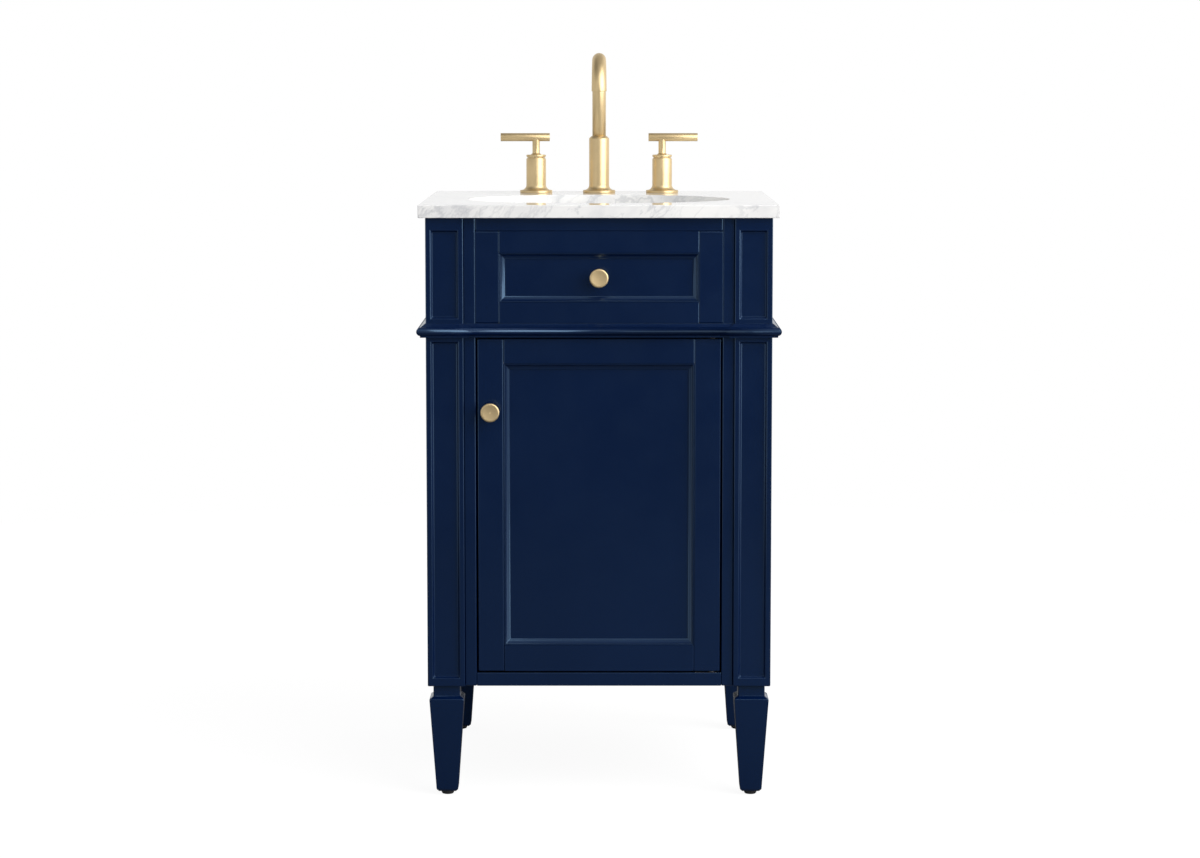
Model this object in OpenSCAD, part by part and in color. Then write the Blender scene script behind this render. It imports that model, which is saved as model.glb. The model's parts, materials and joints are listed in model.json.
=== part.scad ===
// Single bathroom vanity: painted wooden cabinet on tapered legs, stone top,
// undermount oval basin and a three-hole tap set.
// Front is -Y, the wall is at +Y, the floor is Z = 0, and X = 0 is the middle.

/* [Cabinet] */
// Width over the corner posts
cab_w = 513; // [500:1:560]
// Depth from the post faces to the wall
cab_d = 535.9; // [520:0.1:560]
// Height of the cabinet's underside above the floor
body_z0 = 169; // [150:1:190]
// Height of the cabinet's top edge
body_z1 = 870; // [850:1:890]
// Side of the square corner posts
post_w = 56; // [50:1:60]
// How far the front frame sits behind the post faces
setback = 5; // [3:0.5:7]
// Thickness of the frames, rails and door
frame_t = 20; // [18:1:24]
// Width of the clear opening for the door and the fixed front
open_w = 366; // [350:1:372]

/* [Stone top] */
// Width of the stone top
top_w = 533.4; // [520:0.1:580]
// Thickness of the stone top
top_t = 19; // [16:1:25]
// Overhang in front of the posts
top_over = 10.2; // [8:0.1:18]
// Half length of the oval cut-out
bowl_a = 201.5; // [190:0.5:203]
// Half depth of the oval cut-out
bowl_b = 161; // [150:1:162]
// Distance from the stone's front edge to the bowl's centre
bowl_y = 227; // [220:1:235]

/* [Door] */
// Gap round the door
door_gap = 2.5; // [2:0.1:3.5]
// Width of the door's stiles
door_stile = 38.5; // [35:0.5:45]
// Height of the door's top rail
door_rail_top = 36.5; // [34:0.5:45]
// Height of the door's bottom rail
door_rail_bot = 39; // [34:0.5:45]
// Height of the door knob above the floor
door_knob_z = 583; // [500:1:640]

/* [Waist moulding] */
// Height of the moulding's lower edge
waist_z0 = 693.3; // [690:0.1:700]
// Height of the moulding
waist_h = 20.6; // [18:0.1:24]

/* [Legs] */
// Width of the leg's shoulder
leg_w = 51.8; // [46:0.1:56]
// Width of the leg's neck, under the cabinet
leg_neck = 40; // [36:0.5:44]
// Width of the leg at its foot
leg_foot_w = 32.4; // [26:0.1:36]

/* [Tap set] */
// Distance between the spout and each valve
tap_pitch = 101.6; // [100:0.1:110]
// Distance from the wall to the tap holes
tap_back = 74; // [65:1:80]
// Reach of the spout, centre to centre
spout_reach = 97; // [90:1:130]
// Height of the spout's highest centreline point above the stone
spout_rise = 213; // [190:1:240]

/* [Hidden] */
$fn = 64;

// Places across and along the cabinet
knob_len = 26;
y_wall = (cab_d - setback + knob_len) / 2;
y_post = y_wall - cab_d;
y_face = y_post + setback;
y_back_post = y_wall - post_w;
y_stone = y_post - top_over;
y_bowl = y_stone + bowl_y;
y_tap = y_wall - tap_back;
x_post = cab_w / 2;
x_post_in = x_post - post_w;
x_open = open_w / 2;
stone_z = body_z1 + top_t;
leg_x = x_post - post_w / 2;
leg_y_front = y_post + post_w / 2;
leg_y_rear = y_wall - post_w / 2;

// Sunk panels in the posts
sunk_depth = 5;
sunk_slope = 2;
sunk_margin = 8;
sunk_waist_gap = 7;
sunk_top_gap = 19;
sunk_foot_gap = 12.5;

// Coved bead that frames every panel
panel_t = 9;
panel_drop = 8.5;
bead_w = 9.5;
bead_h = 7.5;
bead_top = 2;
cove_r = 12;
cove_centre = [13, 12.7];

// Side frames
side_rail_top = 40;
side_rail_mid = 45;
side_rail_bot = 45;
side_mid_z = waist_z0 + waist_h / 2 - side_rail_mid / 2;

// Fixed front in the upper opening
front_z0 = waist_z0 + waist_h;
front_z1 = body_z1 - frame_t;
front_stile = 34.5;
front_rail_top = 32;
front_rail_bot = 30.5;

// Door and its pivots
bottom_rail_h = 20;
door_z0 = body_z0 + bottom_rail_h + door_gap;
door_z1 = waist_z0 - 0.3 - door_gap;
door_x = x_open - door_gap;
pivot_in = 12;
pivot_back = 6;
pivot_x = door_x - pivot_in;
pivot_y = y_face + pivot_back;
pivot_r = 3;
run_gap = 0.05;
leaf_t = 3;
leaf_half_w = 4.8;
leaf_l = 32;
seat_open = 1;
seat_room = 0.1;
pin_deep = 10;
knob_r = 14;
door_knob_x = -door_x + door_stile / 2;

// Waist moulding profile
waist_out = 13.2;
torus_r = 6.5;
fillet_out = 8;
fillet_h = 2.5;
crest_out = 1.2;
crest_h = 0.6;

// Basin and waste
bowl_reveal = 1.5;
rim_w = 24;
rim_t = 10;
bowl_deep = 130;
bowl_wall = 9;
bowl_floor_z = body_z1 - bowl_deep;
drain_hole_r = 22.5;
tail_neck_r = 15;

// Tap bodies, measured up from the stone
flare_r = 26;
foot_t = 4.3;
foot_round = 1;
foot_ledge = 1.5;
valve_r = 15.8;
valve_h = 55.8;
spout_base_r = 16.1;
spout_base_h = 91;
spout_chamfer = 3.6;
shank_r = 10.2;
shank_l = 80;
shank_neck = 50;
shank_neck_h = 2;
cap_gap = 0.9;
cap_t = 4.4;
stem_r = 5.9;
lever_z = 89.3;
lever_r = 6.5;
lever_long = 57;
lever_short = 22;
spout_r = 10.9;
nozzle_r = 11.9;

module box(x0, x1, y0, y1, z0, z1) {
    translate([x0, y0, z0]) cube([x1 - x0, y1 - y0, z1 - z0]);
}

// Makes a left-hand copy of what is drawn for the right
module on_side(side) {
    if (side > 0) children();
    else mirror([1, 0, 0]) children();
}

module both_sides() {
    for (side = [-1, 1]) on_side(side) children();
}

// ---- posts, rails and panels -------------------------------------------------

// Cutter for a sunk panel with sloping edges, opening in the XZ plane towards -Y
module sunk_cut(w, h) {
    lead = sunk_slope / sunk_depth;
    intersection() {
        linear_extrude(h + 4, center = true)
            polygon([[-w / 2 - lead, -1], [w / 2 + lead, -1],
                     [w / 2 - sunk_slope, sunk_depth], [-w / 2 + sunk_slope, sunk_depth]]);
        rotate([0, 90, 0]) linear_extrude(w + 4, center = true)
            polygon([[-h / 2 - lead, -1], [h / 2 + lead, -1],
                     [h / 2 - sunk_slope, sunk_depth], [-h / 2 + sunk_slope, sunk_depth]]);
    }
}

// The two sunk panels, above and below the waist, on a face at the origin
module post_face_cuts() {
    lower = [body_z0 + sunk_foot_gap, waist_z0 - sunk_waist_gap];
    upper = [waist_z0 + waist_h + sunk_waist_gap, body_z1 - sunk_top_gap];
    for (span = [lower, upper])
        translate([0, 0, (span[0] + span[1]) / 2])
            sunk_cut(post_w - 2 * sunk_margin, span[1] - span[0]);
}

module bolt_hole(x, y) {
    translate([x, y, body_z0 - 1]) cylinder(r = 4.1, h = 32);
}

module post(side, front) {
    y0 = front ? y_post : y_back_post;
    color("midnightblue") on_side(side) difference() {
        box(x_post_in, x_post, y0, y0 + post_w, body_z0, body_z1);
        if (front) translate([x_post - post_w / 2, y_post, 0]) post_face_cuts();
        translate([x_post, y0 + post_w / 2, 0]) rotate([0, 0, 90]) post_face_cuts();
        bolt_hole(leg_x, front ? leg_y_front : leg_y_rear);
    }
}

module front_stiles() {
    color("midnightblue") both_sides()
        box(x_open, x_post_in, y_face, y_face + frame_t, body_z0, body_z1);
}

module front_rail(z0, z1) {
    color("midnightblue") difference() {
        box(-x_open, x_open, y_face, y_face + frame_t, z0, z1);
        for (z = [door_z0 - door_gap - leaf_t, door_z1 + door_gap - seat_open])
            translate([pivot_x, pivot_y, z]) leaf_shape(leaf_t + seat_open, seat_room);
    }
}

// Flat section of a bead: u runs inwards from the rail, v stands up from the panel
module bead_section() {
    square([bead_top, bead_h]);
    difference() {
        square([bead_w, bead_h - 0.8]);
        translate(cove_centre) circle(r = cove_r, $fn = 128);
    }
}

module bead_strip(len) {
    intersection() {
        rotate([0, -90, 180]) linear_extrude(len, center = true) bead_section();
        rotate([90, 0, 0]) linear_extrude(4 * bead_h, center = true)
            polygon([[-len / 2, 0], [len / 2, 0], [len / 2 - bead_w, bead_w],
                     [-len / 2 + bead_w, bead_w]]);
    }
}

// Four mitred strips round an opening w by h, standing off a panel face at y = 0
module bead_frame(w, h) {
    for (turn = [0, 180]) {
        rotate([0, turn, 0]) translate([0, 0, -h / 2]) bead_strip(w);
        rotate([0, turn + 90, 0]) translate([0, 0, -w / 2]) bead_strip(h);
    }
}

// ---- side frames -------------------------------------------------------------

side_spans = [[body_z0 + side_rail_bot, side_mid_z],
              [side_mid_z + side_rail_mid, body_z1 - side_rail_top]];

module side_rails() {
    spans = [[body_z0, side_spans[0][0]], [side_spans[0][1], side_spans[1][0]],
             [side_spans[1][1], body_z1]];
    color("midnightblue") both_sides() for (s = spans)
        box(x_post - frame_t, x_post, y_post + post_w, y_back_post, s[0], s[1]);
}

module side_panels() {
    color("midnightblue") both_sides() for (s = side_spans)
        box(x_post - panel_drop - panel_t, x_post - panel_drop,
            y_post + post_w, y_back_post, s[0], s[1]);
}

module side_beads() {
    color("midnightblue") both_sides() for (s = side_spans)
        translate([x_post - panel_drop, (y_post + y_wall) / 2, (s[0] + s[1]) / 2])
            rotate([0, 0, 90]) bead_frame(cab_d - 2 * post_w, s[1] - s[0]);
}

// ---- carcass -----------------------------------------------------------------

wall_hole_z = 830;
wall_hole_pitch = 300;
wall_hole_r = 3;
back_rail_t = 18;
back_rail_z0 = 790;
back_panel_t = 9;
service_w = 280;
service_z0 = 420;
service_z1 = 720;

module back_upper_rail() {
    color("burlywood") difference() {
        box(-x_post_in, x_post_in, y_wall - back_rail_t, y_wall, back_rail_z0, body_z1);
        for (s = [-1, 1])
            translate([s * wall_hole_pitch / 2, y_wall - back_rail_t - 1, wall_hole_z])
                rotate([-90, 0, 0]) cylinder(r = wall_hole_r, h = back_rail_t + 2);
    }
}

// Thin back with a cut-out for the water and waste pipes
module back_panel() {
    y0 = y_wall - back_panel_t;
    color("burlywood") difference() {
        box(-x_post_in, x_post_in, y0, y_wall, body_z0, back_rail_z0);
        box(-service_w / 2, service_w / 2, y0 - 1, y_wall + 1, service_z0, service_z1);
    }
}

module bottom_panel() {
    z1 = body_z0 + bottom_rail_h;
    floor_t = 12;
    color("midnightblue") difference() {
        box(-x_post + frame_t, x_post - frame_t, y_face + frame_t, y_wall - back_panel_t,
            z1 - floor_t, z1);
        for (s = [-1, 1]) {
            translate([s * (x_post - post_w / 2), y_post + post_w / 2, z1])
                cube([post_w, post_w, 60], center = true);
            translate([s * (x_post - post_w / 2), y_wall - post_w / 2, z1])
                cube([post_w, post_w, 60], center = true);
        }
    }
}

module corner_blocks() {
    arm = 42;
    corners = [[-x_post + frame_t, y_post + post_w, 0], [x_post - frame_t, y_post + post_w, 90],
               [x_post - frame_t, y_back_post, 180], [-x_post + frame_t, y_back_post, 270]];
    color("burlywood") for (c = corners)
        translate([c[0], c[1], body_z1 - 25]) rotate([0, 0, c[2]])
            linear_extrude(25) polygon([[0, 0], [arm, 0], [0, arm]]);
}

// ---- waist moulding ----------------------------------------------------------

// Section: u stands out from the cabinet, v is height. A lower fillet carries a
// half-round nose, and a slope runs from the nose up to a thin crest.
module waist_section() {
    nose_z = fillet_h + torus_r;
    nose_u = waist_out - torus_r;
    square([fillet_out, fillet_h + 1]);
    translate([nose_u, nose_z]) circle(r = torus_r);
    polygon([[0, 0], [nose_u, 0], [nose_u, nose_z + torus_r],
             [crest_out, waist_h - crest_h], [crest_out, waist_h], [0, waist_h]]);
}

// A run along +X from the origin, standing out towards -Y. Each end is mitred:
// 1 grows outwards round an outer corner, -1 shrinks into an inner one, 0 is square.
module waist_run(len, start, end) {
    reach = waist_out + 2;
    intersection() {
        translate([-reach, 0, 0]) rotate([90, 0, 90])
            linear_extrude(len + 2 * reach) mirror([1, 0]) waist_section();
        translate([0, 0, -1]) linear_extrude(waist_h + 2)
            polygon([[0, 0], [len, 0], [len + end * reach, -reach], [-start * reach, -reach]]);
    }
}

// The front run breaks forward round each post
module waist_moulding_front() {
    color("midnightblue") translate([0, 0, waist_z0]) {
        translate([-x_post_in, y_face, 0]) waist_run(2 * x_post_in, -1, -1);
        both_sides() {
            translate([x_post_in, y_post, 0]) waist_run(post_w, 1, 1);
            translate([x_post_in, y_face, 0]) rotate([0, 0, -90]) waist_run(setback, -1, 1);
        }
    }
}

module waist_moulding_sides() {
    color("midnightblue") both_sides() translate([x_post, y_post, waist_z0])
        rotate([0, 0, 90]) waist_run(cab_d, 1, 0);
}

// ---- fixed front -------------------------------------------------------------

front_in_x = x_open - front_stile;
front_in_z0 = front_z0 + front_rail_bot;
front_in_z1 = front_z1 - front_rail_top;
front_mid_z = (front_in_z0 + front_in_z1) / 2;

module drawer_front_stiles() {
    color("midnightblue") both_sides()
        box(front_in_x, x_open, y_face, y_face + frame_t, front_z0, front_z1);
}

module drawer_front_rails() {
    color("midnightblue") {
        box(-front_in_x, front_in_x, y_face, y_face + frame_t, front_z0, front_in_z0);
        box(-front_in_x, front_in_x, y_face, y_face + frame_t, front_in_z1, front_z1);
    }
}

module knob_hole(x, y, z) {
    translate([x, y - 1, z]) rotate([-90, 0, 0]) cylinder(r = 2.1, h = frame_t + 4);
}

module drawer_front_panel() {
    y0 = y_face + panel_drop;
    color("midnightblue") difference() {
        box(-front_in_x, front_in_x, y0, y0 + panel_t, front_in_z0, front_in_z1);
        knob_hole(0, y0, front_mid_z);
    }
}

module drawer_front_bead() {
    color("midnightblue") translate([0, y_face + panel_drop, front_mid_z])
        bead_frame(2 * front_in_x, front_in_z1 - front_in_z0);
}

// Knob standing out towards -Y from the origin: a rose, a neck and a dished head
module knob() {
    head_t = 8;
    edge_r = 2;
    neck_r = 5;
    flare = 4;
    dish_r = 100;
    head_z = knob_len - head_t;
    color("goldenrod") rotate([90, 0, 0]) rotate_extrude() difference() {
        union() {
            square([7.5, 2]);
            square([neck_r, knob_len - 2]);
            difference() {
                translate([0, head_z - flare]) square([neck_r + flare, flare + 1]);
                translate([neck_r + flare, head_z - flare]) circle(r = flare);
            }
            translate([0, head_z]) square([knob_r - edge_r, head_t]);
            translate([0, head_z + edge_r]) square([knob_r, head_t - 2 * edge_r]);
            for (z = [head_z + edge_r, knob_len - edge_r])
                translate([knob_r - edge_r, z]) circle(r = edge_r, $fn = 32);
        }
        translate([0, knob_len - 0.6 + dish_r]) circle(r = dish_r, $fn = 360);
    }
}

// Screw through material of thickness t behind a knob at the origin
module knob_screw(t) {
    color("silver") rotate([-90, 0, 0]) {
        translate([0, 0, 0.2]) cylinder(r = 2, h = t);
        translate([0, 0, t + 0.1]) cylinder(r = 4.2, h = 2.6);
    }
}

module drawer_knob() {
    translate([0, y_face + panel_drop, front_mid_z]) knob();
}

module drawer_knob_screw() {
    translate([0, y_face + panel_drop, front_mid_z]) knob_screw(panel_t);
}

module door_knob() {
    translate([door_knob_x, y_face, door_knob_z]) knob();
}

module door_knob_screw() {
    translate([door_knob_x, y_face, door_knob_z]) knob_screw(frame_t);
}

// ---- legs --------------------------------------------------------------------

leg_rise = 6;
neck_z = body_z0 - 16;
shoulder_z = body_z0 - 20;
foot_cut = 3;

module leg_silhouette() {
    n = leg_neck / 2;
    w = leg_w / 2;
    f = leg_foot_w / 2;
    polygon([[-n, body_z0], [-n, neck_z], [-w, shoulder_z], [-f, leg_rise + foot_cut],
             [-f + foot_cut, leg_rise], [f - foot_cut, leg_rise], [f, leg_rise + foot_cut],
             [w, shoulder_z], [n, neck_z], [n, body_z0]]);
}

module leg(x, y) {
    color("midnightblue") translate([x, y, 0]) difference() {
        intersection() {
            rotate([90, 0, 0]) linear_extrude(leg_w + 2, center = true) leg_silhouette();
            rotate([90, 0, 90]) linear_extrude(leg_w + 2, center = true) leg_silhouette();
        }
        translate([0, 0, body_z0 - 32]) cylinder(r = 4.1, h = 40);
        translate([0, 0, -1]) cylinder(r = 3.1, h = 26);
    }
}

module at_legs() {
    for (x = [-leg_x, leg_x]) for (y = [leg_y_front, leg_y_rear])
        translate([x, y, 0]) children();
}

module leg_bolts() {
    color("silver") at_legs() translate([0, 0, body_z0 - 30]) cylinder(r = 4, h = 60);
}

// Round glides with a rolled lower edge, each on a stem in the foot
module floor_glides() {
    glide_r = 9.4;
    roll = leg_rise / 2;
    color("dimgray") at_legs() rotate_extrude() {
        square([glide_r - roll, leg_rise]);
        translate([0, roll]) square([glide_r, leg_rise - roll]);
        translate([glide_r - roll, roll]) circle(r = roll);
        square([3, 24]);
    }
}

// ---- stone top and basin -----------------------------------------------------

oval_steps = 96;
function oval(a, b) = [for (i = [0 : oval_steps - 1])
    [a * cos(360 * i / oval_steps), b * sin(360 * i / oval_steps)]];

module at_taps() {
    for (s = [-1, 0, 1]) translate([s * tap_pitch, y_tap, 0]) children();
}

module stone_top() {
    color("whitesmoke") difference() {
        box(-top_w / 2, top_w / 2, y_stone, y_wall, body_z1, stone_z);
        translate([0, y_bowl, body_z1 - 1]) linear_extrude(top_t + 2)
            polygon(oval(bowl_a, bowl_b));
        at_taps() translate([0, 0, body_z1 - 1]) cylinder(r = 17.5, h = top_t + 2);
    }
}

// Depth of the bowl's surface at a share s of its half length, flat in the middle,
// and the share at which it is a given depth
bowl_flat = 0.22;
bowl_rings = 12;
function bowl_drop(s, deep) =
    deep * pow(1 - pow((s - bowl_flat) / (1 - bowl_flat), 3), 0.55);
function bowl_share(drop, deep) =
    bowl_flat + (1 - bowl_flat) * pow(1 - pow(drop / deep, 1 / 0.55), 1 / 3);

// Rings [half length, half depth, height] of one surface, from the flat floor up to
// share s1, closer together where the wall is steep
function bowl_wall_rings(grow, deep, s1) = [for (i = [0 : bowl_rings])
    let (s = s1 - (s1 - bowl_flat) * pow(1 - i / bowl_rings, 1.6))
    [(bowl_a + grow) * s, (bowl_b + grow) * s, -bowl_drop(s, deep)]];

function reversed(list) = [for (i = [len(list) - 1 : -1 : 0]) list[i]];

// The basin's section runs from the waste hole up the inside, over the rim and back
// down the outside; each of its points is an oval ring
module basin() {
    rim_a = bowl_a + rim_w;
    rim_b = rim_a * bowl_b / bowl_a;
    outer_deep = bowl_deep + bowl_wall;
    rings = concat(
        [[drain_hole_r, drain_hole_r, -bowl_deep]],
        bowl_wall_rings(bowl_reveal, bowl_deep, 1),
        [[rim_a, rim_b, 0], [rim_a, rim_b, -rim_t]],
        reversed(bowl_wall_rings(bowl_wall, outer_deep, bowl_share(rim_t, outer_deep))),
        [[drain_hole_r, drain_hole_r, -outer_deep]]);
    n = oval_steps;
    m = len(rings);
    points = [for (r = rings) for (p = oval(r[0], r[1])) [p[0], p[1], r[2]]];
    faces = [for (j = [0 : m - 1]) for (k = [0 : n - 1])
        [j * n + k, j * n + (k + 1) % n, ((j + 1) % m) * n + (k + 1) % n,
         ((j + 1) % m) * n + k]];
    color("white") translate([0, y_bowl, body_z1]) polyhedron(points, faces);
}

module basin_clips() {
    rim_a = bowl_a + rim_w;
    rim_b = rim_a * bowl_b / bowl_a;
    color("silver") for (a = [40, 140, 220, 320])
        translate([rim_a * cos(a), y_bowl + rim_b * sin(a), body_z1])
            rotate([0, 0, atan2(rim_a * sin(a), rim_b * cos(a))]) rotate([90, 0, 0])
                linear_extrude(16, center = true)
                    polygon([[1, 0], [12, 0], [12, -rim_t - 4], [-9, -rim_t - 4],
                             [-9, -rim_t - 0.3], [1, -rim_t - 0.3]]);
}

// ---- tap set -----------------------------------------------------------------

// Section of a tap body's foot: a disc and a concave quarter-round up to radius r
module tap_foot(r) {
    sweep = flare_r - r - foot_ledge;
    square([flare_r - foot_round, foot_t]);
    translate([0, foot_round]) square([flare_r, foot_t - 2 * foot_round]);
    for (z = [foot_round, foot_t - foot_round])
        translate([flare_r - foot_round, z]) circle(r = foot_round, $fn = 32);
    difference() {
        square([r + sweep, foot_t + sweep]);
        translate([r + sweep, foot_t + sweep]) circle(r = sweep, $fn = 96);
    }
}

// Threaded tail below the stone. The tail of a valve has a groove above the length
// that takes a hose connector.
module shank(neck) {
    difference() {
        translate([0, 0, -shank_l]) cylinder(r = shank_r, h = shank_l + 1);
        if (neck) translate([0, 0, -shank_neck - shank_neck_h]) difference() {
            cylinder(r = shank_r + 1, h = shank_neck_h);
            translate([0, 0, -1]) cylinder(r = shank_r - 0.8, h = shank_neck_h + 2);
        }
    }
}

module valve_body(side) {
    color("goldenrod") translate([side * tap_pitch, y_tap, stone_z]) difference() {
        union() {
            rotate_extrude() {
                tap_foot(valve_r);
                square([valve_r, valve_h - 1]);
                square([valve_r - 1, valve_h]);
            }
            shank(true);
        }
        translate([0, 0, valve_h - 20]) cylinder(r = 13.1, h = 21);
        translate([0, 0, -shank_l - 1]) cylinder(r = 7, h = 30);
    }
}

module spout_base() {
    color("goldenrod") translate([0, y_tap, stone_z]) difference() {
        union() {
            rotate_extrude() {
                tap_foot(spout_base_r);
                polygon([[0, 0], [spout_base_r, 0], [spout_base_r, spout_base_h - spout_chamfer],
                         [spout_base_r - spout_chamfer, spout_base_h], [0, spout_base_h]]);
            }
            shank(false);
        }
        translate([0, 0, spout_base_h - 45]) cylinder(r = spout_r + run_gap, h = 46);
    }
}

spout_bend = spout_reach / 2;
spout_bend_z = spout_rise - spout_bend;
spout_z0 = spout_base_h - 44;
nozzle_z = spout_bend_z - 1;
nozzle_l = 12;
bore_r = 8.5;

// Riser and half-circle bend of radius r, from z0 up and down again to the nozzle
module gooseneck(r, z0, z_end) {
    translate([0, 0, z0]) cylinder(r = r, h = spout_bend_z - z0);
    translate([0, -spout_bend, spout_bend_z]) rotate([90, 0, 90])
        rotate_extrude(angle = 180, $fn = 96) translate([spout_bend, 0]) circle(r = r);
    translate([0, -spout_reach, z_end]) cylinder(r = r, h = spout_bend_z - z_end);
}

module spout() {
    color("goldenrod") translate([0, y_tap, stone_z]) difference() {
        union() {
            gooseneck(spout_r, spout_z0, nozzle_z);
            translate([0, -spout_reach, nozzle_z])
                cylinder(r1 = nozzle_r, r2 = spout_r, h = nozzle_l);
        }
        gooseneck(bore_r, spout_z0 - 1, nozzle_z - 1);
    }
}

module aerator() {
    color("silver") translate([0, y_tap - spout_reach, stone_z + nozzle_z])
        cylinder(r = bore_r - 0.1, h = 2);
}

// Cap with its spigot, stem and lever bar; the long end points away from the spout
module lever(side) {
    cap_z = valve_h + cap_gap;
    spigot_r = 13.05;
    spigot_l = 14;
    cap_round = 0.6;
    neck_h = 1.6;
    neck_in = 0.9;
    collar_r = 9;
    collar_h = 2.6;
    color("goldenrod") translate([side * tap_pitch, y_tap, stone_z]) {
        rotate_extrude() {
            translate([0, cap_z - spigot_l]) square([spigot_r, spigot_l + 1]);
            translate([0, cap_z]) square([valve_r - neck_in, neck_h + 0.1]);
            translate([0, cap_z + neck_h]) square([valve_r, cap_t - neck_h - cap_round]);
            translate([0, cap_z + neck_h]) square([valve_r - cap_round, cap_t - neck_h]);
            translate([0, cap_z + cap_t]) polygon([[0, 0], [collar_r, 0], [stem_r, collar_h],
                                                   [0, collar_h]]);
            translate([0, cap_z]) square([stem_r, lever_z - cap_z]);
        }
        translate([-side * lever_short, 0, lever_z]) rotate([0, 90 * side, 0])
            cylinder(r = lever_r, h = lever_long + lever_short);
    }
}

module tap_washers() {
    color("dimgray") at_taps() translate([0, 0, body_z1 - 2.5]) difference() {
        cylinder(r = 24, h = 2.5);
        translate([0, 0, -1]) cylinder(r = shank_r + 0.2, h = 6);
    }
}

module tap_nuts() {
    color("goldenrod") at_taps() translate([0, 0, body_z1 - 11.5]) difference() {
        cylinder(r = 20, h = 9, $fn = 6);
        translate([0, 0, -1]) cylinder(r = shank_r + 0.1, h = 12);
    }
}

module link_tubes() {
    len = tap_pitch - 2 * shank_r;
    color("peru") both_sides()
        translate([shank_r, y_tap, stone_z - shank_l / 2]) rotate([0, 90, 0]) {
            cylinder(r = 5, h = len);
            for (z = [3, len - 11]) translate([0, 0, z]) cylinder(r = 7.5, h = 8);
        }
}

// ---- waste -------------------------------------------------------------------

module drain_body() {
    seat_z = bowl_floor_z;
    color("goldenrod") translate([0, y_bowl, seat_z]) {
        difference() {
            union() {
                translate([0, 0, 0.05]) cylinder(r = 31, h = 2.4);
                translate([0, 0, -50]) cylinder(r = 21.5, h = 51);
            }
            translate([0, 0, -38]) cylinder(r = 18, h = 60);
            translate([0, 0, -60]) cylinder(r = tail_neck_r + 0.1, h = 30);
        }
        translate([0, 0, -24]) difference() {
            union() {
                cylinder(r = 8, h = 12);
                for (a = [0, 90]) rotate([0, 0, a])
                    translate([-18.5, -2, 0]) cube([37, 4, 8]);
            }
            translate([0, 0, -1]) cylinder(r = 4.1, h = 20);
        }
    }
}

module drain_stopper() {
    color("goldenrod") translate([0, y_bowl, bowl_floor_z]) {
        translate([0, 0, 2.8]) cylinder(r = 27, h = 3.2);
        translate([0, 0, 6]) cylinder(r1 = 27, r2 = 22, h = 1.6, $fn = 64);
        translate([0, 0, -34]) cylinder(r = 4.03, h = 38);
    }
}

module drain_gasket() {
    color("dimgray") translate([0, y_bowl, bowl_floor_z - bowl_wall - 8.1]) difference() {
        cylinder(r = 32, h = 8);
        translate([0, 0, -1]) cylinder(r = 21.6, h = 12);
    }
}

module drain_nut() {
    color("goldenrod") translate([0, y_bowl, bowl_floor_z - bowl_wall - 20.2]) difference() {
        cylinder(r = 33, h = 12, $fn = 6);
        translate([0, 0, -1]) cylinder(r = 21.6, h = 20);
    }
}

// Tube that takes the trap, with a narrower neck inside the waste body
module drain_tailpiece() {
    tail_l = 138;
    neck_l = 14;
    color("goldenrod") translate([0, y_bowl, bowl_floor_z - 190]) difference() {
        union() {
            cylinder(r = 15.9, h = tail_l);
            cylinder(r = tail_neck_r, h = tail_l + neck_l);
        }
        translate([0, 0, -1]) cylinder(r = tail_neck_r - 1.5, h = tail_l + neck_l + 2);
    }
}

// ---- door --------------------------------------------------------------------

door_in_x = door_x - door_stile;
door_in_z0 = door_z0 + door_rail_bot;
door_in_z1 = door_z1 - door_rail_top;

module door_left_stile() {
    color("midnightblue") difference() {
        box(-door_x, -door_in_x, y_face, y_face + frame_t, door_z0, door_z1);
        knob_hole(door_knob_x, y_face, door_knob_z);
    }
}

// Seat for a pivot leaf, cut upwards from z; room adds clearance all round
module leaf_shape(h, room) {
    translate([-leaf_l + 8 - room, -leaf_half_w - room, 0])
        cube([leaf_l + 2 * room, 2 * (leaf_half_w + room), h]);
}

module door_right_stile() {
    color("midnightblue") difference() {
        box(door_in_x, door_x, y_face, y_face + frame_t, door_z0, door_z1);
        for (z = [door_z0 - seat_open, door_z1 - leaf_t])
            translate([pivot_x, pivot_y, z]) leaf_shape(leaf_t + seat_open, seat_room);
        for (z = [door_z0, door_z1 - pin_deep - 4])
            translate([pivot_x, pivot_y, z]) cylinder(r = pivot_r + 0.6, h = pin_deep + 4);
    }
}

module door_rails() {
    color("midnightblue") {
        box(-door_in_x, door_in_x, y_face, y_face + frame_t, door_z0, door_in_z0);
        box(-door_in_x, door_in_x, y_face, y_face + frame_t, door_in_z1, door_z1);
    }
}

module door_panel() {
    y0 = y_face + panel_drop;
    color("midnightblue")
        box(-door_in_x, door_in_x, y0, y0 + panel_t, door_in_z0, door_in_z1);
}

module door_bead() {
    color("midnightblue")
        translate([0, y_face + panel_drop, (door_in_z0 + door_in_z1) / 2])
            bead_frame(2 * door_in_x, door_in_z1 - door_in_z0);
}

// Plates let into the door's ends, each with the bore that turns on a pin
module door_pivot_plates() {
    color("silver") for (z = [door_z0, door_z1 - leaf_t])
        translate([pivot_x, pivot_y, z]) difference() {
            leaf_shape(leaf_t, 0);
            translate([0, 0, -1]) cylinder(r = pivot_r + run_gap, h = leaf_t + 2);
        }
}

// Strip behind the middle rail that the door closes against. The notch clears the
// hinge side of the door, which swings a little way into the cabinet.
stop_h = 11;
stop_t = 13;
stop_z = door_z1 + door_gap - stop_h;

module door_stop() {
    y0 = y_face + frame_t;
    z1 = door_z1 + door_gap;
    color("midnightblue") difference() {
        box(-x_open, x_open, y0, y0 + stop_t, stop_z, front_z0);
        box(-x_open - 1, x_open + 1, y0 - 1, y0 + 1, stop_z - 1, z1);
        box(pivot_x - 15, x_open + 1, y0 - 1, y0 + 5.5, stop_z - 1, z1);
    }
}

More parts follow.
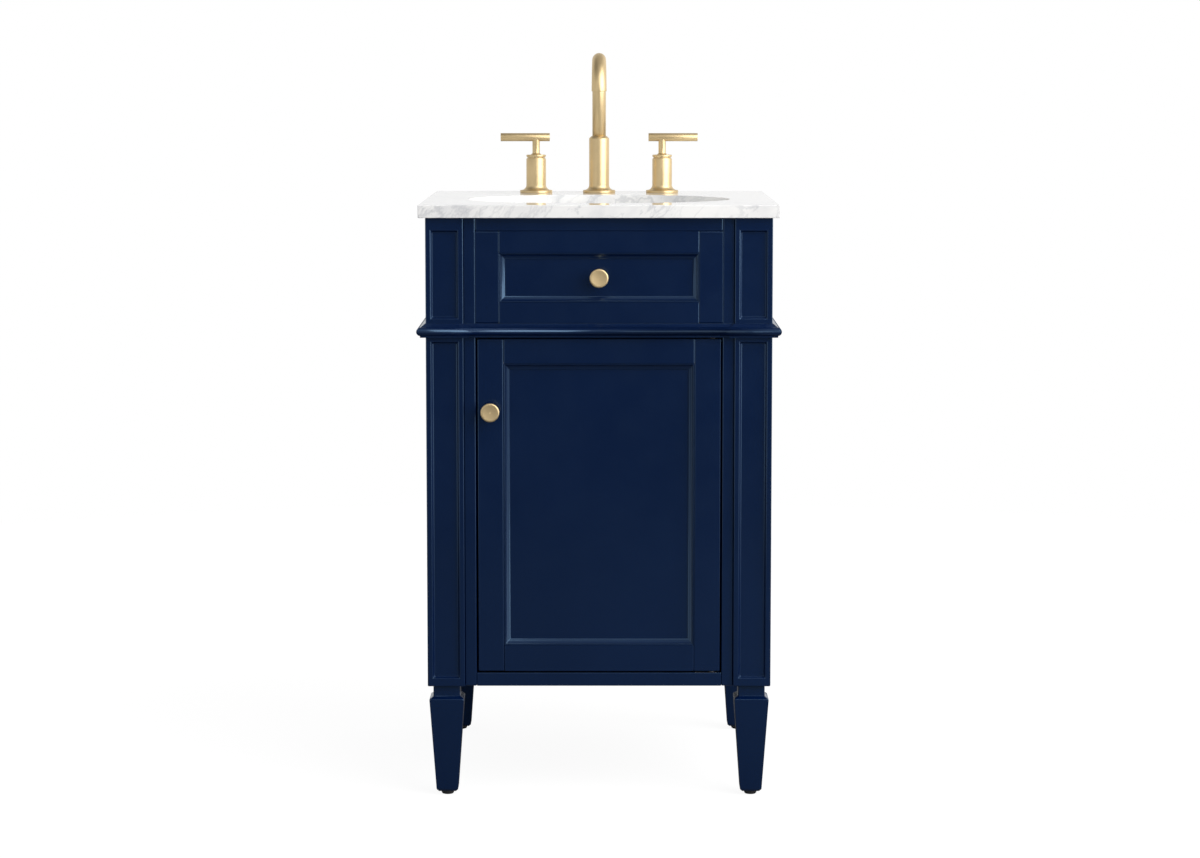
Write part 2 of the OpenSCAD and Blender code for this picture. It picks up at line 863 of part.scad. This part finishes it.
catch_x = -door_x + 32;
catch_w = 40;
catch_h = 16;

module magnetic_catch() {
    y0 = y_face + frame_t + 1.5;
    color("white")
        box(catch_x - catch_w / 2, catch_x + catch_w / 2, y0, y0 + 15, stop_z - catch_h, stop_z);
}

module catch_plate() {
    y0 = y_face + frame_t;
    color("silver")
        box(catch_x - 14, catch_x + 14, y0, y0 + 1.2, stop_z - catch_h + 2, stop_z - 3);
}

// Leaves fixed to the frame, each with its pivot pin
module frame_pivots() {
    pin_l = door_gap + leaf_t + pin_deep - 1;
    color("silver") {
        translate([pivot_x, pivot_y, door_z0 - door_gap - leaf_t]) {
            leaf_shape(leaf_t, 0);
            cylinder(r = pivot_r, h = leaf_t + pin_l);
        }
        translate([pivot_x, pivot_y, door_z1 + door_gap]) {
            leaf_shape(leaf_t, 0);
            translate([0, 0, -pin_l]) cylinder(r = pivot_r, h = leaf_t + pin_l);
        }
    }
}

module pivot_washers() {
    t = door_gap - 0.2;
    color("goldenrod") for (z = [door_z0 - door_gap + 0.05, door_z1 + 0.15])
        translate([pivot_x, pivot_y, z]) difference() {
            cylinder(r = 5, h = t);
            translate([0, 0, -1]) cylinder(r = pivot_r + 0.1, h = t + 2);
        }
}

post(-1, true);  // left_front_post
post(1, true);  // right_front_post
post(-1, false);  // left_rear_post
post(1, false);  // right_rear_post
front_stiles();
front_rail(front_z1, body_z1);  // front_top_rail
front_rail(door_z1 + door_gap, front_z0);  // front_middle_rail
front_rail(body_z0, door_z0 - door_gap);  // front_bottom_rail
side_rails();
side_panels();
side_beads();
back_upper_rail();
back_panel();
bottom_panel();
corner_blocks();
door_stop();
waist_moulding_front();
waist_moulding_sides();
drawer_front_stiles();
drawer_front_rails();
drawer_front_panel();
drawer_front_bead();
drawer_knob();
drawer_knob_screw();
leg(-leg_x, leg_y_front);  // left_front_leg
leg(leg_x, leg_y_front);  // right_front_leg
leg(-leg_x, leg_y_rear);  // left_rear_leg
leg(leg_x, leg_y_rear);  // right_rear_leg
leg_bolts();
floor_glides();
stone_top();
basin();
basin_clips();
spout_base();
valve_body(-1);  // left_valve_body
valve_body(1);  // right_valve_body
tap_washers();
tap_nuts();
link_tubes();
drain_body();
drain_gasket();
drain_nut();
drain_tailpiece();
frame_pivots();
pivot_washers();
magnetic_catch();
door_left_stile();
door_right_stile();
door_rails();
door_panel();
door_bead();
door_knob();
door_knob_screw();
door_pivot_plates();
catch_plate();
spout();
aerator();
lever(-1);  // left_lever
lever(1);  // right_lever
drain_stopper();
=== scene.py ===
"""Looks of the bathroom vanity cabinet: finishes, small details, light and camera.

Everything is in metres in the part's own frame: the front is -Y, the wall +Y and the floor Z = 0.
"""

import json
import math

import bmesh
import bpy
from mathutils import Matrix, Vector


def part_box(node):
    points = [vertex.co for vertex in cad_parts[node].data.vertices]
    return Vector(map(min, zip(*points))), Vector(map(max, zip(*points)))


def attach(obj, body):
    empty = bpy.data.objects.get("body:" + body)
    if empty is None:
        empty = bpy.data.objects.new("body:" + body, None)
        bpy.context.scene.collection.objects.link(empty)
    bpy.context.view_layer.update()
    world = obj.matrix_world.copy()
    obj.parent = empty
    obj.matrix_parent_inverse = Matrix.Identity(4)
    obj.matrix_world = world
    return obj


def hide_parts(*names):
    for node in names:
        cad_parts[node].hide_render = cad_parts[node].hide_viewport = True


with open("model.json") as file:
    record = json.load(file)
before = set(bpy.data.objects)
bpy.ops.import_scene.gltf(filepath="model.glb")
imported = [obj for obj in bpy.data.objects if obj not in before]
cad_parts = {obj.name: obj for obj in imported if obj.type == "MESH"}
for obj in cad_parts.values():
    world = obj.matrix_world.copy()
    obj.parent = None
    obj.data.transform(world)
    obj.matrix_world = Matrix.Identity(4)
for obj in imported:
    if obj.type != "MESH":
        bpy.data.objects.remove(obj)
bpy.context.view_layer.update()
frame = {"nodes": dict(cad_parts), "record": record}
nodes = frame["nodes"]

MM = 0.001

# ---- camera ------------------------------------------------------------------

CAMERA_X = 1.4 * MM
CAMERA_Z = 1.09
CAMERA_TO_STONE = 4.712
CAMERA_PITCH = 6.44
LENS = 96.1
SENSOR = 36


def make_camera():
    stone_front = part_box("stone_top")[0].y
    data = bpy.data.cameras.new("camera")
    data.lens = LENS
    data.sensor_width = SENSOR
    camera = bpy.data.objects.new("camera", data)
    camera.location = (CAMERA_X, stone_front - CAMERA_TO_STONE, CAMERA_Z)
    camera.rotation_euler = (math.radians(90 - CAMERA_PITCH), 0, 0)
    bpy.context.scene.collection.objects.link(camera)
    bpy.context.scene.camera = camera


# ---- shader trees ------------------------------------------------------------


class Tree:
    """Short ways to add and join the nodes of one shader tree."""

    def __init__(self, tree):
        self.tree = tree

    def add(self, kind, **settings):
        node = self.tree.nodes.new(kind)
        for key, value in settings.items():
            setattr(node, key, value)
        return node

    def link(self, value, socket):
        """Feeds a socket with another socket or with a constant."""
        if isinstance(value, bpy.types.NodeSocket):
            self.tree.links.new(value, socket)
        else:
            socket.default_value = value

    def fill(self, node, **values):
        """Feeds a node's named sockets; an underscore stands for a space."""
        for name, value in values.items():
            self.link(value, node.inputs[name.replace("_", " ")])

    def math(self, operation, a, b=0.0):
        node = self.add("ShaderNodeMath", operation=operation)
        self.link(a, node.inputs[0])
        self.link(b, node.inputs[1])
        return node.outputs[0]

    def fit(self, value, low, high, to_low=0.0, to_high=1.0):
        """Maps low..high smoothly to to_low..to_high, held at both ends."""
        node = self.add("ShaderNodeMapRange", interpolation_type="SMOOTHSTEP")
        self.fill(node, Value=value, From_Min=low, From_Max=high, To_Min=to_low, To_Max=to_high)
        return node.outputs["Result"]


class Material(Tree):
    """A material's tree round one Principled shader, in object coordinates."""

    def __init__(self, name, **sockets):
        self.material = bpy.data.materials.new(name)
        self.material.use_nodes = True
        super().__init__(self.material.node_tree)
        self.shader = self.tree.nodes["Principled BSDF"]
        self.coords = self.add("ShaderNodeTexCoord").outputs["Object"]
        self.fill(self.shader, **sockets)

    def surface(self, **sockets):
        """Feeds the shader's sockets and returns the finished material."""
        self.fill(self.shader, **sockets)
        return self.material

    def place(self, scale, turn=(0, 0, 0)):
        """Object coordinates, turned in degrees and then stretched."""
        node = self.add("ShaderNodeMapping", vector_type="TEXTURE")
        self.fill(
            node,
            Vector=self.coords,
            Rotation=[math.radians(a) for a in turn],
            Scale=[1 / s for s in scale],
        )
        return node.outputs[0]

    def noise_node(self, scale, detail=4, roughness=0.5, vector=None):
        node = self.add("ShaderNodeTexNoise")
        self.fill(
            node,
            Vector=vector or self.coords,
            Scale=scale,
            Detail=detail,
            Roughness=roughness,
            Distortion=0,
        )
        return node

    def noise(self, *args, **options):
        return self.noise_node(*args, **options).outputs["Fac"]

    def ridge(self, *args, **options):
        """How far a noise is from its middle value, so nought along thin winding lines."""
        centred = self.math("SUBTRACT", self.noise(*args, **options), 0.5)
        return self.math("ABSOLUTE", centred)

    def mix(self, factor, a, b):
        node = self.add("ShaderNodeMix", data_type="RGBA", blend_type="MIX")
        # A colour mix has its own sockets: 6 and 7 in, 2 out
        self.link(factor, node.inputs[0])
        self.link(a, node.inputs[6])
        self.link(b, node.inputs[7])
        return node.outputs[2]

    def warp(self, vector, scale, amount):
        """Pushes coordinates about by a coloured noise."""
        push_by = self.noise_node(scale, 3, vector=vector).outputs["Color"]
        centred = self.add("ShaderNodeVectorMath", operation="SUBTRACT")
        self.link(push_by, centred.inputs[0])
        centred.inputs[1].default_value = (0.5, 0.5, 0.5)
        push = self.add("ShaderNodeVectorMath", operation="MULTIPLY_ADD")
        self.link(centred.outputs[0], push.inputs[0])
        push.inputs[1].default_value = (amount, amount, amount)
        self.link(vector, push.inputs[2])
        return push.outputs[0]

    def bump(self, height, distance):
        node = self.add("ShaderNodeBump")
        self.fill(node, Height=height, Distance=distance, Strength=1.0)
        return node.outputs[0]


# ---- light -------------------------------------------------------------------

KEY_AT = (2.3, -1.95, 2.3)
KEY_AIM = (0, 0, 0.62)
KEY_SIZE = 3.8
KEY_WATTS = 134

# Brightness of the room's walls, and how much dimmer it is on each side
ROOM = 1.1
FRONT_DIM = -1.0
LEFT_DIM = -0.35
BACK_DIM = -0.2
TOP_DIM = -0.7


def make_key():
    """One very wide softbox at the upper right; the room fills in the rest."""
    data = bpy.data.lights.new("key", "AREA")
    data.shape = "RECTANGLE"
    data.size = data.size_y = KEY_SIZE
    data.energy = KEY_WATTS
    light = bpy.data.objects.new("key", data)
    light.location = KEY_AT
    aim = Vector(KEY_AIM) - Vector(KEY_AT)
    light.rotation_euler = aim.to_track_quat("-Z", "Y").to_euler()
    bpy.context.scene.collection.objects.link(light)


def make_world():
    """A pale room with bright side walls, dimmer in front, behind and overhead.

    The camera sees plain white instead.
    """
    world = bpy.data.worlds.new("studio")
    bpy.context.scene.world = world
    world.use_nodes = True
    sky = Tree(world.node_tree)
    sky.tree.nodes.clear()

    coords = sky.add("ShaderNodeTexCoord")
    split = sky.add("ShaderNodeSeparateXYZ")
    sky.link(coords.outputs["Generated"], split.inputs[0])
    x, y, z = split.outputs
    room = ROOM
    for direction, start, end, dim in (
        (y, -0.88, -0.98, FRONT_DIM),
        (x, -0.1, -0.8, LEFT_DIM),
        (y, 0.75, 0.97, BACK_DIM),
        (z, 0.3, 0.85, TOP_DIM),
    ):
        room = sky.math("ADD", room, sky.fit(direction, start, end, 0, dim))

    mix = sky.add("ShaderNodeMixShader")
    path = sky.add("ShaderNodeLightPath")
    sky.link(path.outputs["Is Camera Ray"], mix.inputs["Fac"])
    for slot, strength in ((1, room), (2, 1.0)):
        background = sky.add("ShaderNodeBackground")
        sky.fill(background, Color=(1, 1, 1, 1), Strength=strength)
        sky.link(background.outputs[0], mix.inputs[slot])
    out = sky.add("ShaderNodeOutputWorld")
    sky.link(mix.outputs[0], out.inputs["Surface"])


make_camera()
make_key()
make_world()
bpy.context.scene.view_settings.view_transform = "Standard"

# ---- materials ---------------------------------------------------------------

# Each pair runs from the deeper to the lighter tone of one surface
NAVY = (0.0002, 0.0060, 0.0365, 1), (0.0005, 0.0072, 0.041, 1)
NAVY_GLOSS_TINT = (0.42, 0.7, 1, 1)
STEEL = (0.50, 0.51, 0.52, 1), (0.62, 0.62, 0.63, 1)
GLAZE = (0.87, 0.88, 0.87, 1), (0.91, 0.92, 0.91, 1)
WOOD = (0.42, 0.27, 0.14, 1), (0.60, 0.43, 0.26, 1)
WOOD_PORE = (0.26, 0.15, 0.07, 1)
STONE = (0.945, 0.935, 0.92, 1), (0.975, 0.965, 0.95, 1)
STONE_MIST = (0.62, 0.63, 0.65, 1)
STONE_CLOUD = (0.46, 0.47, 0.51, 1)
STONE_VEIN = (0.37, 0.385, 0.42, 1)
STONE_THREAD = (0.42, 0.43, 0.46, 1)
BRASS = (0.75, 0.58, 0.325)
PALE_BRASS = (0.80, 0.62, 0.35)
COPPER = (0.76, 0.40, 0.25)
RUBBER = (0.012, 0.012, 0.012)
DARK_PLASTIC = (0.02, 0.02, 0.023)
WHITE_PLASTIC = (0.78, 0.78, 0.75)

# Noise scales along X, Y and Z that draw brush lines round Z, round X or along Y
ROUND_Z = (60, 60, 2600)
ROUND_X = (2600, 60, 60)
ALONG_Y = (2600, 60, 2600)


def navy_lacquer(name="navy_lacquer", gloss=1.0):
    """Sprayed satin lacquer: slight orange peel and the faintest unevenness of tone."""
    g = Material(name, Specular_IOR_Level=gloss, Specular_Tint=NAVY_GLOSS_TINT)
    tone = g.fit(g.noise(3.5, 3), 0.35, 0.65)
    return g.surface(
        Base_Color=g.mix(tone, *NAVY),
        Roughness=g.fit(g.noise(22, 3), 0.3, 0.7, 0.19, 0.23),
        Normal=g.bump(g.noise(420, 2), 0.006 * MM),
    )


def brushed_brass(name="brushed_brass", colour=BRASS, stretch=ROUND_Z, dull=0.40):
    """Satin metal with fine brush lines and a slight unevenness of tone."""
    g = Material(name, Metallic=1.0)
    lines = g.noise(1, 2, vector=g.place(stretch))
    patina = g.fit(g.noise(28, 3), 0.3, 0.7)
    deep = tuple(c * 0.93 for c in colour)
    return g.surface(
        Base_Color=g.mix(patina, (*deep, 1), (*colour, 1)),
        Roughness=g.fit(lines, 0.3, 0.7, dull, dull + 0.06),
        Normal=g.bump(lines, 0.001 * MM),
    )


def brushed_steel():
    g = Material("brushed_steel", Metallic=1.0)
    lines = g.noise(1, 3, 0.6, vector=g.place((300, 2400, 300)))
    return g.surface(
        Base_Color=g.mix(lines, *STEEL),
        Roughness=g.fit(lines, 0.3, 0.7, 0.28, 0.42),
        Normal=g.bump(lines, 0.01 * MM),
    )


def marble():
    """Polished white marble: grey clouds in drifts, slanting veins in them and a crystal grain."""
    g = Material("marble", Coat_Weight=0.5, Coat_Roughness=0.03, Roughness=0.14)
    slant = g.place((1.0, 0.42, 0.5), (0, 38, 24))
    flow = g.warp(slant, 9, 0.05)
    drift = g.fit(g.noise(7, 3, vector=slant), 0.40, 0.62)
    cloud = g.fit(g.noise(24, 6, 0.6, vector=flow), 0.42, 0.72)
    vein = g.fit(g.ridge(27, 6, 0.62, vector=flow), 0.0, 0.05, 1.0, 0.0)
    thread = g.fit(g.ridge(13, 5, 0.55, vector=flow), 0.0, 0.010, 0.55, 0.0)
    grain = g.fit(g.noise(900, 2), 0.3, 0.7)

    colour = g.mix(grain, *STONE)
    for where, strength, tone in (
        (drift, 0.12, STONE_MIST),
        (g.math("MULTIPLY", cloud, drift), 0.36, STONE_CLOUD),
        (g.math("MULTIPLY", vein, drift), 0.40, STONE_VEIN),
        (thread, 0.40, STONE_THREAD),
    ):
        colour = g.mix(g.math("MULTIPLY", where, strength), colour, tone)
    return g.surface(Base_Color=colour)


def white_glaze():
    g = Material("white_glaze", Coat_Weight=0.8, Coat_Roughness=0.02)
    return g.surface(
        Base_Color=g.mix(g.noise(6, 2), *GLAZE),
        Roughness=g.fit(g.noise(30, 2), 0.3, 0.7, 0.10, 0.14),
        Normal=g.bump(g.noise(55, 2), 0.05 * MM),
    )


def bare_wood():
    """Clear-coated pale wood with long grain along X."""
    g = Material("bare_wood")
    along = g.warp(g.place((1.4, 26, 26)), 1.2, 0.5)
    rings = g.noise(3, 5, 0.6, vector=along)
    pores = g.noise(1, 2, vector=g.place((90, 1500, 1500)))
    grain = g.mix(g.fit(rings, 0.35, 0.65), *WOOD)
    return g.surface(
        Base_Color=g.mix(g.fit(pores, 0.58, 0.72, 0.0, 0.5), grain, WOOD_PORE),
        Roughness=g.fit(rings, 0.3, 0.7, 0.42, 0.55),
        Normal=g.bump(pores, 0.05 * MM),
    )


def moulded_plastic(name, colour, roughness):
    g = Material(name)
    lighter = tuple(min(1, c * 1.15 + 0.005) for c in colour)
    return g.surface(
        Base_Color=g.mix(g.noise(40, 2), (*colour, 1), (*lighter, 1)),
        Roughness=g.fit(g.noise(300, 2), 0.3, 0.7, roughness - 0.05, roughness + 0.05),
        Normal=g.bump(g.noise(1400, 2), 0.03 * MM),
    )


finish = {
    "navy_lacquer": navy_lacquer(),
    "cabinet_interior": bare_wood(),
    "marble": marble(),
    "white_glaze": white_glaze(),
    "brushed_brass": brushed_brass(),
    "steel": brushed_steel(),
    "copper": brushed_brass("copper", COPPER, ROUND_X),
    "black_rubber": moulded_plastic("black_rubber", RUBBER, 0.75),
    "dark_plastic": moulded_plastic("dark_plastic", DARK_PLASTIC, 0.5),
    "white_plastic": moulded_plastic("white_plastic", WHITE_PLASTIC, 0.45),
}
primer = navy_lacquer("navy_primer", 0.0)
knob_brass = brushed_brass("spun_brass", PALE_BRASS, ALONG_Y, 0.44)

# ---- CAD nodes ---------------------------------------------------------------

# Radius of the rounded edges that each finish shows
EDGE_RADIUS = {
    "navy_lacquer": 1.8 * MM,
    "cabinet_interior": 0.5 * MM,
    "marble": 1.0 * MM,
    "brushed_brass": 0.35 * MM,
    "steel": 0.2 * MM,
    "copper": 0.2 * MM,
    "black_rubber": 0.3 * MM,
    "dark_plastic": 0.5 * MM,
    "white_plastic": 0.6 * MM,
}
POST_RADIUS = 1.6 * MM
BEAD_RADIUS = 0.7 * MM
WELD = 0.005 * MM

# On these only long edges are rounded, because a bevel at the rim of a hole spoils the flat face
WOODWORK = ("navy_lacquer", "cabinet_interior")
LONG_EDGE = 3 * MM

# Faces that meet at more than this angle keep a sharp edge between them
SHARP = math.radians(32)
FACES_SIDEWAYS = 0.99


def place_key(mesh, index):
    """A vertex's place in hundredths of a millimetre, the same for every copy of the vertex."""
    return tuple(round(c / (0.01 * MM)) for c in mesh.vertices[index].co)


def shade_round(mesh):
    """Turns flat facets into smooth shading, apart from where they meet at a sharp angle."""
    around = {}
    for face in mesh.polygons:
        for v in face.vertices:
            around.setdefault(place_key(mesh, v), []).append(face)
    normals = [None] * len(mesh.loops)
    for face in mesh.polygons:
        for corner in face.loop_indices:
            near = around[place_key(mesh, mesh.loops[corner].vertex_index)]
            blend = Vector()
            for other in near:
                if other.normal.dot(face.normal) > math.cos(SHARP):
                    blend += other.area * other.normal
            normals[corner] = blend.normalized()
    mesh.shade_smooth()
    mesh.normals_split_custom_set(normals)


def mark_long_edges(mesh):
    """Gives bevel weight to the long sharp edges, and so not to the rims of holes."""
    sides = {}
    for face in mesh.polygons:
        ring = [place_key(mesh, v) for v in face.vertices]
        for pair in zip(ring, ring[1:] + ring[:1]):
            sides.setdefault(frozenset(pair), []).append(face.normal)
    weights = mesh.attributes.new("bevel_weight_edge", "FLOAT", "EDGE")
    for edge in mesh.edges:
        start, end = (mesh.vertices[v].co for v in edge.vertices)
        normals = sides.get(frozenset(place_key(mesh, v) for v in edge.vertices), [])
        sharp = len(normals) == 2 and normals[0].dot(normals[1]) < math.cos(SHARP)
        weights.data[edge.index].value = float(sharp and (start - end).length > LONG_EDGE)


def soften(obj, radius, long_only):
    """Rounds a node's sharp edges with modifiers and leaves its own mesh alone."""
    weld = obj.modifiers.new("weld", "WELD")
    weld.merge_threshold = WELD
    bevel = obj.modifiers.new("edges", "BEVEL")
    bevel.width = radius
    bevel.segments = 2
    bevel.harden_normals = True
    if long_only:
        mark_long_edges(obj.data)
        bevel.limit_method = "WEIGHT"
    else:
        bevel.limit_method = "ANGLE"
        bevel.angle_limit = SHARP


def dull_inside(mesh):
    """Gives the faces that look at the cabinet's middle plane a primer coat with no gloss."""
    mesh.materials.append(primer)
    for face in mesh.polygons:
        inwards = face.normal.x * face.center.x < 0
        if inwards and abs(face.normal.x) > FACES_SIDEWAYS:
            face.material_index = 1


def dress_nodes():
    slot_of = {s["node"]: s["material_slot"] for s in frame["record"]["subparts"]}
    for name, obj in nodes.items():
        slot = slot_of[name]
        obj.data.materials.clear()
        obj.data.materials.append(knob_brass if name.endswith("_knob") else finish[slot])
        if name == "basin":
            shade_round(obj.data)
        if name.endswith("rear_post") or name == "front_stiles":
            dull_inside(obj.data)
        if name.endswith("post"):
            soften(obj, POST_RADIUS, long_only=True)
        elif "bead" in name:
            soften(obj, BEAD_RADIUS, long_only=False)
        elif slot in EDGE_RADIUS:
            soften(obj, EDGE_RADIUS[slot], long_only=slot in WOODWORK)


dress_nodes()

# ---- spout -------------------------------------------------------------------

RISER_R = 10.9 * MM
BORE_R = 8.5 * MM
LIP = 0.6 * MM
MOUTH_DEPTH = 6 * MM
BEND_STEPS = 48
TUBE_SIDES = 64


def tube(name, stations):
    """A round tube through (centre, direction, radius) stations that all lie in one YZ plane."""
    bm = bmesh.new()
    rings = []
    across = Vector((1, 0, 0))
    turns = [2 * math.pi * i / TUBE_SIDES for i in range(TUBE_SIDES)]
    for centre, along, radius in stations:
        up = along.cross(across)
        rings.append([bm.verts.new(centre + radius * (math.cos(a) * across + math.sin(a) * up))
                      for a in turns])
    for low, high in zip(rings, rings[1:]):
        for i in range(TUBE_SIDES):
            j = (i + 1) % TUBE_SIDES
            bm.faces.new((low[i], low[j], high[j], high[i]))
    bm.faces.new(rings[0])
    bm.faces.new(list(reversed(rings[-1])))
    bmesh.ops.recalc_face_normals(bm, faces=bm.faces)
    for face in bm.faces:
        face.smooth = len(face.verts) == 4
    mesh = bpy.data.meshes.new(name)
    bm.to_mesh(mesh)
    bm.free()
    mesh.materials.append(finish["brushed_brass"])
    piece = bpy.data.objects.new(name, mesh)
    bpy.context.scene.collection.objects.link(piece)
    return piece


def make_spout():
    """The gooseneck as one tube that widens gently from the top of its bend to its mouth."""
    low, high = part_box("spout")
    mouth_r = high.x
    y_riser = high.y - RISER_R
    y_mouth = low.y + mouth_r
    bend = (y_riser - y_mouth) / 2
    bend_centre = Vector((0, y_riser - bend, high.z - RISER_R - bend))
    z_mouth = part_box("aerator")[0].z
    up, down = Vector((0, 0, 1)), Vector((0, 0, -1))

    stations = [(Vector((0, y_riser, low.z)), up, RISER_R)]
    for i in range(BEND_STEPS + 1):
        angle = math.pi * i / BEND_STEPS
        radial = Vector((0, math.cos(angle), math.sin(angle)))
        along = Vector((0, -math.sin(angle), math.cos(angle)))
        widened = max(0, i / BEND_STEPS - 0.5) * 2
        radius = RISER_R + (mouth_r - RISER_R) * widened
        stations.append((bend_centre + bend * radial, along, radius))
    # Rounded lip of the mouth, then back up inside it
    for z, radius in (
        (z_mouth + LIP, mouth_r),
        (z_mouth + 0.3 * LIP, mouth_r - 0.3 * LIP),
        (z_mouth, mouth_r - LIP),
        (z_mouth, BORE_R),
        (z_mouth + MOUTH_DEPTH, BORE_R),
    ):
        stations.append((Vector((0, y_mouth, z)), down, radius))

    spout = tube("gooseneck", stations)
    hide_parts("spout")
    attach(spout, "spout_arm")


make_spout()

# ---- stage -------------------------------------------------------------------

FLOOR_RADIUS = 3
FLOOR_SIDES = 128
FLOOR_GREY = 0.16
FLOOR_GLOW = 0.91


def make_floor():
    """A round pale floor that meets the white behind it without a line.

    It is dim for everything but the camera, so it throws little light up at the object.
    """
    turns = [2 * math.pi * i / FLOOR_SIDES for i in range(FLOOR_SIDES)]
    rim = [(FLOOR_RADIUS * math.cos(a), FLOOR_RADIUS * math.sin(a), 0) for a in turns]
    mesh = bpy.data.meshes.new("floor")
    mesh.from_pydata(rim, [], [list(range(FLOOR_SIDES))])
    floor = bpy.data.objects.new("floor", mesh)
    bpy.context.scene.collection.objects.link(floor)
    grey = (FLOOR_GREY, FLOOR_GREY, FLOOR_GREY, 1)
    g = Material("floor", Base_Color=grey, Roughness=0.9, Specular_IOR_Level=0.0)
    to_camera = g.add("ShaderNodeLightPath").outputs["Is Camera Ray"]
    floor.data.materials.append(g.surface(
        Emission_Color=(1, 1, 1, 1),
        Emission_Strength=g.math("MULTIPLY", to_camera, FLOOR_GLOW),
    ))


make_floor()
